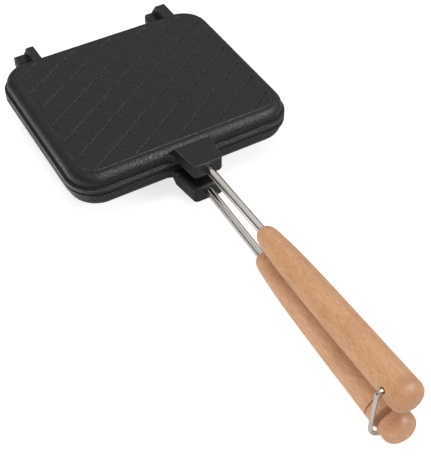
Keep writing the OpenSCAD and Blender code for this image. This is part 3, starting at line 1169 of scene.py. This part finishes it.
    def _hinge_lug(self, x0: float, x1: float) -> Mesh:
        """Makes one hinge lug with its round knuckle and the pin's bore.

        Args:
            x0: Its left face.
            x1: Its right face.

        Returns:
            A closed mesh.
        """
        half_d, axis, low = LAYOUT.half_d, LAYOUT.hinge_y, self.gap / 2
        top, under = LAYOUT.half_t - self.hinge_drop, -self.knuckle_under
        back, front = axis + self.knuckle_back, axis - self.knuckle_front
        root, seat = half_d - self.hinge_root, half_d - self.hinge_seat
        lip, chamfer = half_d + self.hinge_lip, self.knuckle_edge
        outline = [(root, top - mm(2)), (root, top), (half_d + self.hinge_flat, top),
                   (back, self.knuckle_up)]
        radius = self.knuckle_round
        round_y, round_z = back - radius, under + radius
        for a in (math.pi / 2 * i / 12 for i in range(13)):
            outline.append((round_y + radius * math.cos(a), round_z - radius * math.sin(a)))
        outline += [(front + chamfer, under), (front, under + chamfer), (front, -mm(1)), (lip, low),
                    (seat, low + chamfer), (seat, mm(6))]
        bm = extruded([Vector((x0, y, z)) for y, z in outline], Vector((x1 - x0, 0.0, 0.0)))
        round_edges(bm, sharp_edges(bm, 28), self.crisp, 3)
        tidy_shell(bm)
        low_end, high_end, bore_r = x0 - mm(1), x1 + mm(1), self.bore / 2
        bore = revolve([(0.0, low_end), (bore_r, low_end), (bore_r, high_end), (0.0, high_end)], 40)
        place = Matrix.Translation((0.0, axis, 0.0)) @ Matrix.Rotation(math.pi / 2, 4, "Y")
        bmesh.ops.transform(bore, verts=bore.verts[:], matrix=place)
        return carved(bm, bore)


@dataclass
class Handle:
    """A steel rod with its turned wooden grip.

    Attributes:
        half: Upper or lower half.
        steel: Material of the rod.
        wood: Material of the grip.
        rod_r: Radius of the rod.
        in_lug: Depth of the rod in its lug.
        in_grip: Depth of the rod in its grip.
        rod_edge: Bevel of the rod's ends.
        tip_r: Radius of the grip's flat front.
        neck_r: Radius behind the nose.
        swell: Growth of the radius behind the neck.
        taper: Further growth towards the end.
        nose: Length of the rounded nose.
        dome: Length of the rounded end.
        swell_len: Length over which the swell comes up.
        wire_r: Radius of the bail's wire.
        mouth_r: Radius of the pivot hole's mouths.
        wire_run: Clearance of the wire in its hole.
        bore_run: Clearance of the rod in its bore.
        bore_mouth: Chamfer at the bore's mouth.
        fullness: Power of the rounded end's outline; smaller is fuller.
        line_r: Depth and half width of the lower grip's turned line.
        catch_r: Radius of the groove that the bail lies in.
        catch_sunk: Depth of that groove.
    """

    half: Half
    steel: Material
    wood: Material
    rod_r: float = mm(2.75)
    in_lug: float = mm(17.9)
    in_grip: float = mm(70)
    rod_edge: float = mm(0.5)
    tip_r: float = mm(3.7)
    neck_r: float = mm(7.05)
    swell: float = mm(1.5)
    taper: float = mm(1.15)
    nose: float = mm(11)
    dome: float = mm(6.6)
    swell_len: float = mm(17)
    wire_r: float = mm(1.2)
    mouth_r: float = mm(2.3)
    wire_run: float = mm(0.1)
    bore_run: float = mm(0.02)
    bore_mouth: float = mm(0.25)
    fullness: float = 0.4
    line_r: float = mm(0.42)
    catch_r: float = mm(2.4)
    catch_sunk: float = mm(0.9)

    def build(self) -> list[Piece]:
        """Builds the rod and the grip.

        Returns:
            Both pieces.
        """
        place = LAYOUT.handle(self.half)
        rod = finished(self._rod(), f"{self.half.value}_rod_bar", self.steel, place)
        grip = finished(self._grip(), f"{self.half.value}_grip_turning", self.wood, place,
                        sharp=50.0)
        for piece, node, slot in ((rod, "rod", "polished_steel"), (grip, "grip", "turned_wood")):
            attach(piece, self.half.body)
            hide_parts(f"{self.half.value}_{node}")
        return [rod, grip]

    @property
    def full_r(self) -> float:
        """Radius of the grip at its thickest."""
        return self.neck_r + self.swell + self.taper

    def _rod(self) -> Mesh:
        """Makes the rod with bevelled ends.

        Returns:
            A closed mesh along +Z.
        """
        start, stop, edge = -self.in_lug, LAYOUT.rod_free + self.in_grip, self.rod_edge
        run = [start + edge + (stop - start - 2 * edge) * i / 12 for i in range(13)]
        return revolve([(0.0, start), (self.rod_r - edge, start), *[(self.rod_r, z) for z in run],
                        (self.rod_r - edge, stop), (0.0, stop)], 56)

    def _body_r(self, s: float) -> float:
        """Plain radius of the grip between its nose and its rounded end.

        Args:
            s: Distance from the front tip.

        Returns:
            The radius there.
        """
        run = LAYOUT.grip_len - self.dome - self.nose
        return (self.neck_r + self.swell * (1 - math.exp(-(s - self.nose) / self.swell_len))
                + self.taper * (s - self.nose) / run)

    def _radius(self, s: float) -> float:
        """Radius of the grip at any distance from its front tip.

        Args:
            s: Distance from the front tip.

        Returns:
            The radius there, with the lower grip's turned rings.
        """
        length = LAYOUT.grip_len
        if s < self.nose:
            share = 1.0 - max(s, 0.0) / self.nose
            rise = math.sqrt(max(0.0, 1.0 - share * share))
            radius = self.tip_r + (self.neck_r - self.tip_r) * rise
        elif s <= length - self.dome:
            radius = self._body_r(s)
        else:
            share = min(1.0, (s - length + self.dome) / self.dome)
            radius = self._body_r(length - self.dome) * (1.0 - share * share) ** self.fullness
        if self.half is Half.LOWER:
            radius -= self._ring_depth(s)
        return radius

    def _ring_depth(self, s: float) -> float:
        """Depth of the thin turned line and of the bail's groove at a distance from the tip.

        Args:
            s: Distance from the front tip.

        Returns:
            How far the turning goes under the plain outline.
        """
        back = LAYOUT.grip_len - s
        depth = 0.0
        line = abs(back - LAYOUT.line_back) / self.line_r
        if line < 1.0:
            depth = self.line_r * (1.0 - line ** 4)
        away = abs(back - LAYOUT.bail_back)
        if away < self.catch_r:
            curve = self.catch_r - math.sqrt(self.catch_r ** 2 - away ** 2)
            depth = max(depth, self._body_r(s) - (self.full_r - self.catch_sunk + curve))
        return max(0.0, depth)

    def _grip(self) -> Mesh:
        """Makes the turned grip with its blind bore.

        Returns:
            A closed mesh along +Z.
        """
        length, nose, dome, bore = LAYOUT.grip_len, self.nose, self.dome, self.rod_r + self.bore_run
        stops = [nose * (i / 12) ** 2 for i in range(12)]
        stops += [nose + (length - dome - nose) * i / 60 for i in range(61)]
        stops += [length - dome + dome * math.sin(math.pi / 2 * i / 14) for i in range(1, 14)]
        if self.half is Half.LOWER:
            for back, reach, steps in ((LAYOUT.line_back, mm(0.5), 10),
                                       (LAYOUT.bail_back, mm(2.9), 20)):
                stops += [length - back + reach * (2 * i / steps - 1) for i in range(steps + 1)]
        outline = [(self._radius(s), s) for s in sorted({round(s, 6) for s in stops})]
        deep, rim = self.in_grip + mm(0.1), bore + mm(0.3)
        profile = [(0.0, deep), (bore, deep), (bore, mm(0.4)), (bore + self.bore_mouth, 0.0),
                   *[(r, s) for r, s in outline if s > 0 or r > rim], (0.0, length)]
        bm = revolve([(r, z + LAYOUT.rod_free) for r, z in profile], 96)
        return carved(bm, self._pivot_cutter()) if self.half is Half.UPPER else bm

    def _pivot_cutter(self) -> Mesh:
        """Makes the tool that drills the bail's hole and its countersunk mouths.

        Returns:
            A closed mesh in the grip's own frame.
        """
        hole, face, past = self.wire_r + self.wire_run, self.full_r, mm(1)
        sink, wide, far = self.mouth_r - hole, self.mouth_r + past, face + 2 * past
        half = [(hole, face - sink), (wide, face + past), (wide, far)]
        profile = [(0.0, -far), *[(r, -z) for r, z in half[::-1]], *half, (0.0, far)]
        tool = revolve(profile, 40)
        place = (LAYOUT.handle(Half.UPPER).inverted() @ LAYOUT.seam(Half.UPPER)
                 @ Matrix.Translation(LAYOUT.pivot)
                 @ Matrix.Rotation(math.pi / 2 + LAYOUT.pivot_tilt, 4, "Y"))
        bmesh.ops.transform(tool, verts=tool.verts[:], matrix=place)
        return tool


@dataclass
class HingePin:
    """A riveted steel pin through one hinge.

    Attributes:
        side: Left or right hinge.
        steel: Its material.
        outer: Distance of the hinge's outer face from the centre plane.
        inner: Distance of its inner face.
        shank_r: Radius of the shank.
        head_r: Radius of the heads.
        head_h: Height of the heads.
        crown: Share of that height that is domed.
        clear: Gap under each head.
    """

    side: Side
    steel: Material
    outer: float = mm(57.8)
    inner: float = mm(44.5)
    shank_r: float = mm(2)
    head_r: float = mm(3.5)
    head_h: float = mm(0.9)
    crown: float = 0.75
    clear: float = mm(0.1)

    def build(self) -> Piece:
        """Builds the pin.

        Returns:
            The finished pin.
        """
        span = (-self.outer, -self.inner) if self.side is Side.LEFT else (self.inner, self.outer)
        low, high = span[0] - self.clear, span[1] + self.clear
        skirt = 1 - self.crown
        head = [(self.head_r * math.sin(a), self.head_h * (skirt + self.crown * math.cos(a)))
                for a in (math.pi / 2 * i / 8 for i in range(9))]
        bottom = [(r, low - h) for r, h in head] + [(self.head_r, low)]
        upper = [(self.head_r, high)] + [(r, high + h) for r, h in head[::-1]]
        bm = revolve([*bottom, (self.shank_r, low), (self.shank_r, high), *upper], 48)
        place = (LAYOUT.seam(Half.UPPER) @ Matrix.Translation((0.0, LAYOUT.hinge_y, 0.0))
                 @ Matrix.Rotation(math.pi / 2, 4, "Y"))
        pin = finished(bm, f"{self.side.value}_hinge_rivet", self.steel, place)
        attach(pin, Half.LOWER.body)
        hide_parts(f"{self.side.value}_hinge_pin")
        return pin


@dataclass
class Bail:
    """The bent wire that holds the grips together.

    Attributes:
        steel: Its material.
        wire_r: Radius of the wire.
        left: Distance of the left leg from the centre plane, at the pivot.
        right: Distance of the right leg from the centre plane.
        lean: Angle at which the left leg leans outwards, in radians.
        bend_r: Radius of the bends beside the pivot.
        low: Height of the bow's lowest point from the seam.
        end_gap: Gap between the wire's two ends.
    """

    steel: Material
    wire_r: float = mm(1.2)
    left: float = mm(12.2)
    right: float = mm(11.6)
    lean: float = math.radians(0.2)
    bend_r: float = mm(2.5)
    low: float = mm(-25.666)
    end_gap: float = mm(0.8)

    def build(self) -> Piece:
        """Builds the bail.

        Returns:
            The finished bail.
        """
        pivot, tilt = LAYOUT.pivot, LAYOUT.pivot_tilt
        along = Vector((math.cos(tilt), 0.0, -math.sin(tilt)))
        down = Vector((-math.sin(self.lean), 0.0, -math.cos(self.lean)))
        first = self._bend_centre(self.bend_r * math.cos(self.lean) - self.left)
        last = self._bend_centre(self.right - self.bend_r)
        drop = first.z + self.bend_r * math.sin(self.lean) - (self.low - pivot.z)
        share = 1 + math.cos(self.lean) + math.sin(self.lean)
        span = self.left + self.right
        bow_r = (span * math.cos(self.lean) + drop * math.sin(self.lean)) / share
        leg = ((1 + math.cos(self.lean)) * drop - (1 + math.sin(self.lean)) * span) / share
        bow = Vector((self.right - bow_r, 0.0, self.low - pivot.z + bow_r))
        bm = bmesh.new()
        bmesh.ops.create_circle(bm, segments=24, radius=self.wire_r)
        half_gap = self.end_gap / 2
        start = Matrix.Translation(-along * half_gap) @ Matrix.Rotation(math.pi / 2 + tilt, 4, "Y")
        bmesh.ops.transform(bm, matrix=start, verts=bm.verts[:])
        ring = self._run(bm, bm.edges[:], along * (first.dot(along) + half_gap), 4)
        ring = self._turn(bm, ring, first, -(math.pi / 2 + tilt - self.lean), 12)
        ring = self._run(bm, ring, down * leg, 8)
        ring = self._turn(bm, ring, bow, -(math.pi + self.lean), 40)
        ring = self._run(bm, ring, Vector((0.0, 0.0, last.z - bow.z)), 8)
        ring = self._turn(bm, ring, last, -(math.pi / 2 - tilt), 10)
        self._run(bm, ring, -along * (last.dot(along) - half_gap), 4)
        bmesh.ops.holes_fill(bm, edges=[e for e in bm.edges if e.is_boundary], sides=0)
        tidy_shell(bm)
        place = LAYOUT.seam(Half.UPPER) @ Matrix.Translation(pivot)
        bail = finished(bm, "bail_wire_loop", self.steel, place, sharp=60.0)
        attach(bail, "bail")
        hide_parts("bail")
        return bail

    def _bend_centre(self, x: float) -> Vector:
        """Finds the centre of a bend beside the pivot.

        Args:
            x: Its distance from the centre plane.

        Returns:
            The centre, from the pivot.
        """
        tilt = LAYOUT.pivot_tilt
        return Vector((x, 0.0, -(self.bend_r + x * math.sin(tilt)) / math.cos(tilt)))

    @staticmethod
    def _run(bm: Mesh, ring: list[Edge], along: Vector, steps: int) -> list[Edge]:
        """Draws the wire straight on from its open ring.

        Args:
            bm: The mesh.
            ring: The open ring's edges.
            along: Way and length of the straight run.
            steps: Number of rings along it.

        Returns:
            The new open ring.
        """
        for _ in range(steps):
            made = bmesh.ops.extrude_edge_only(bm, edges=ring)["geom"]
            ring = [g for g in made if isinstance(g, Edge) and g.is_boundary]
            verts = {v for e in ring for v in e.verts}
            bmesh.ops.translate(bm, verts=list(verts), vec=along / steps)
        return ring

    @staticmethod
    def _turn(bm: Mesh, ring: list[Edge], centre: Vector, angle: float,
              steps: int) -> list[Edge]:
        """Bends the wire round from its open ring.

        Args:
            bm: The mesh.
            ring: The open ring's edges.
            centre: Centre of the bend.
            angle: Angle of the bend.
            steps: Number of rings along it.

        Returns:
            The new open ring.
        """
        made = bmesh.ops.spin(bm, geom=ring, cent=centre, axis=(0, 1, 0), angle=angle, steps=steps)
        return [g for g in made["geom_last"] if isinstance(g, Edge)]


# ---------------------------------------------------------------- studio


@dataclass(frozen=True)
class Lamp:
    """A soft square lamp that looks at the plates.

    Attributes:
        name: Its name.
        place: Where it hangs.
        size: Length of its side.
        power: Its power in watts.
        mirrored: Whether it shows in reflections.
        matt: Whether it lights matt surfaces.
        aim: Point that it is turned to, in front of the plates' centre.
    """

    name: str
    place: tuple[float, float, float]
    size: float
    power: float
    mirrored: bool = True
    matt: bool = True
    aim: tuple[float, float, float] = (0.0, -0.08, 0.0)

    def hang(self) -> None:
        """Hangs the lamp and turns it to its aim."""
        data = bpy.data.lights.new(self.name, "AREA")
        data.energy, data.size, data.shape = self.power, self.size, "SQUARE"
        lamp = bpy.data.objects.new(self.name, data)
        lamp.location = self.place
        lamp.visible_glossy = self.mirrored
        lamp.visible_diffuse = self.matt
        way = Vector(self.aim) - Vector(self.place)
        lamp.rotation_euler = way.to_track_quat("-Z", "Y").to_euler()
        bpy.context.scene.collection.objects.link(lamp)


@dataclass
class Studio:
    """Pale floor, soft lamps and the camera.

    Attributes:
        slope: How much brighter the world is towards the right.
        dusk: Strength of the world at the horizon.
        zenith: Its strength overhead.
        sky_span: Upward shares of the view between which it grows.
        plain: Share of the world's light that reaches a matt surface.
        floor_z: Height of the floor, under the bail's bow.
        floor_glow: Strength of the floor's white ground.
        floor_shares: Shares of that ground in reflections and on matt surfaces.
        lamps: The lamps.
        card_size: Width and depth of the glowing card beside the plates.
        card_power: Its power in watts.
        card_off: Distance of its centre from the rim.
        card_y: Y of its centre.
        azimuth: Azimuth of the camera, in degrees.
        elevation: Its height above the horizon, in degrees.
        roll: Its roll, in degrees.
        lens: Its focal length for a 36 mm sensor along the picture's long side.
        eye: Where it stands, from the seam.
    """

    slope: float = 0.15
    dusk: float = 0.04
    zenith: float = 0.76
    sky_span: Point = (0.1, 0.66)
    plain: float = 0.66
    floor_z: float = mm(-14.9)
    floor_glow: float = 0.72
    floor_shares: Point = (0.15, 0.9)
    lamps: tuple[Lamp, ...] = (
        Lamp("key", (0.45, -0.92, 0.68), 0.4, 4.6),
        Lamp("sheen", (0.45, -0.5, 1.03), 0.62, 17.0, matt=False),
        Lamp("side", (-0.95, -0.15, 0.3), 0.6, 4.2, mirrored=False),
        Lamp("top", (-0.15, -0.2, 1.1), 0.5, 4.4, mirrored=False),
    )
    card_size: Point = (0.12, 0.22)
    card_power: float = 0.09
    card_off: float = 0.065
    card_y: float = 0.02
    azimuth: float = -29.33
    elevation: float = 46.18
    roll: float = -0.744
    lens: float = 76.3
    eye: Vector = field(default_factory=lambda: Vector((mm(-208.25), mm(-467.13), mm(406.67))))

    def build(self) -> None:
        """Builds the floor, the world, the lamps and the camera."""
        self._floor()
        self._world()
        for lamp in self.lamps:
            lamp.hang()
        self._card()
        self._camera()
        bpy.context.scene.view_settings.view_transform = "Standard"

    def _floor(self) -> None:
        """Makes the pale floor, which keeps the object's shadow on a white ground."""
        bm = bmesh.new()
        bmesh.ops.create_grid(bm, x_segments=1, y_segments=1, size=4.0)
        bmesh.ops.translate(bm, verts=bm.verts[:], vec=(0.0, 0.0, self.floor_z))
        mesh = bpy.data.meshes.new("floor")
        bm.to_mesh(mesh)
        bm.free()
        floor = bpy.data.objects.new("floor", mesh)
        bpy.context.scene.collection.objects.link(floor)
        material, s, surface, _ = principled("pale_floor")
        for key, value in (("Base Color", (0.6, 0.6, 0.6, 1.0)), ("Roughness", 0.9),
                           ("Specular IOR Level", 0.0), ("Emission Color", (1.0, 1.0, 1.0, 1.0))):
            surface.inputs[key].default_value = value
        s.join(s.math("MULTIPLY", self._seen(s, *self.floor_shares), self.floor_glow),
               surface.inputs["Emission Strength"])
        mesh.materials.append(material)

    @staticmethod
    def _seen(s: Shader, mirrored: float, plain: float = 0.0) -> Socket:
        """Finds the rays that see the background directly or in a reflection.

        Args:
            s: The shader that asks.
            mirrored: Share of the background that a reflection shows.
            plain: Share of it that lights a matt surface.

        Returns:
            1 for camera and transmission rays, else the share for the ray's kind.
        """
        ray = s.add("ShaderNodeLightPath").outputs
        direct = s.math("MAXIMUM", ray["Is Camera Ray"], ray["Is Transmission Ray"])
        glossy = s.math("MULTIPLY", ray["Is Glossy Ray"], mirrored)
        matt = s.math("MULTIPLY", ray["Is Diffuse Ray"], plain)
        return s.math("MAXIMUM", s.math("MAXIMUM", direct, glossy), matt)

    def _world(self) -> None:
        """Makes the world: soft grey light, seen as white."""
        world = bpy.data.worlds.new("studio")
        bpy.context.scene.world = world
        world.use_nodes = True
        s = Shader(world.node_tree)
        ground = next(n for n in s.tree.nodes if n.type == "BACKGROUND")
        ground.inputs["Color"].default_value = (1.0, 1.0, 1.0, 1.0)
        way = s.split(s.add("ShaderNodeTexCoord").outputs["Generated"])
        sky = s.remap(way[2], *self.sky_span, self.dusk, self.zenith)
        soft = s.math("MULTIPLY", s.math("MULTIPLY_ADD", way[0], self.slope, sky),
                      self._seen(s, 1.0, self.plain))
        s.join(s.math("MAXIMUM", self._seen(s, 0.0), soft), ground.inputs["Strength"])

    def _card(self) -> None:
        """Lays a glowing card beside the plates' left rims, seen only in reflections."""
        data = bpy.data.lights.new("card", "AREA")
        data.shape, data.energy = "RECTANGLE", self.card_power
        data.size, data.size_y = self.card_size
        card = bpy.data.objects.new("card", data)
        card.location = (-LAYOUT.half_w - self.card_off, self.card_y, self.floor_z + mm(0.5))
        card.rotation_euler = (math.pi, 0.0, 0.0)
        card.visible_camera = card.visible_diffuse = False
        bpy.context.scene.collection.objects.link(card)

    def _camera(self) -> None:
        """Stands the camera at the photograph's angle."""
        a, e, r = (math.radians(v) for v in (self.azimuth, self.elevation, self.roll))
        away = Vector((math.sin(a) * math.cos(e), -math.cos(a) * math.cos(e), math.sin(e)))
        right = Vector((0.0, 0.0, 1.0)).cross(away).normalized()
        over = away.cross(right)
        across = right * math.cos(r) + over * math.sin(r)
        upright = over * math.cos(r) - right * math.sin(r)
        data = bpy.data.cameras.new("camera")
        data.sensor_width, data.sensor_fit, data.lens = 36.0, "AUTO", self.lens
        data.clip_start = 0.01
        camera = bpy.data.objects.new("camera", data)
        turn = Matrix((across, upright, away)).transposed().to_4x4()
        stand = self.eye + Vector((0.0, 0.0, LAYOUT.half_t))
        camera.matrix_world = Matrix.Translation(stand) @ turn
        bpy.context.scene.collection.objects.link(camera)
        bpy.context.scene.camera = camera


def main() -> None:
    """Builds the whole scene, one sub-assembly after another."""
    logging.basicConfig(level=logging.INFO, format="%(name)s: %(message)s")
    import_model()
    casting = CoatedCasting().material()
    rod_steel = DrawnSteel("rod_steel").material()
    wire_steel = DrawnSteel("wire_steel", base=(0.7, 0.66, 0.61), rough=0.14,
                            along=(1.0, 1.0, 0.12)).material()
    pin_steel = DrawnSteel("pin_steel", base=(0.09, 0.088, 0.085), rough=0.42,
                           along=(0.2, 1.0, 1.0)).material()
    woods = {
        Half.UPPER: TurnedWood("upper_grip_wood", Half.UPPER),
        Half.LOWER: TurnedWood("lower_grip_wood", Half.LOWER, pale=(0.735, 0.468, 0.282),
                               warm=(0.6, 0.31, 0.165), deep=(0.38, 0.165, 0.07),
                               heart=(-0.024, 0.03), shift=3.7),
    }
    for half in Half:
        LOG.info("plate %s", CastPlate(half, casting).build().name)
        for piece in Handle(half, rod_steel, woods[half].material()).build():
            LOG.info("handle piece %s", piece.name)
    for side in Side:
        LOG.info("pin %s", HingePin(side, pin_steel).build().name)
    LOG.info("bail %s", Bail(wire_steel).build().name)
    Studio().build()


if __name__ == "__main__":
    main()
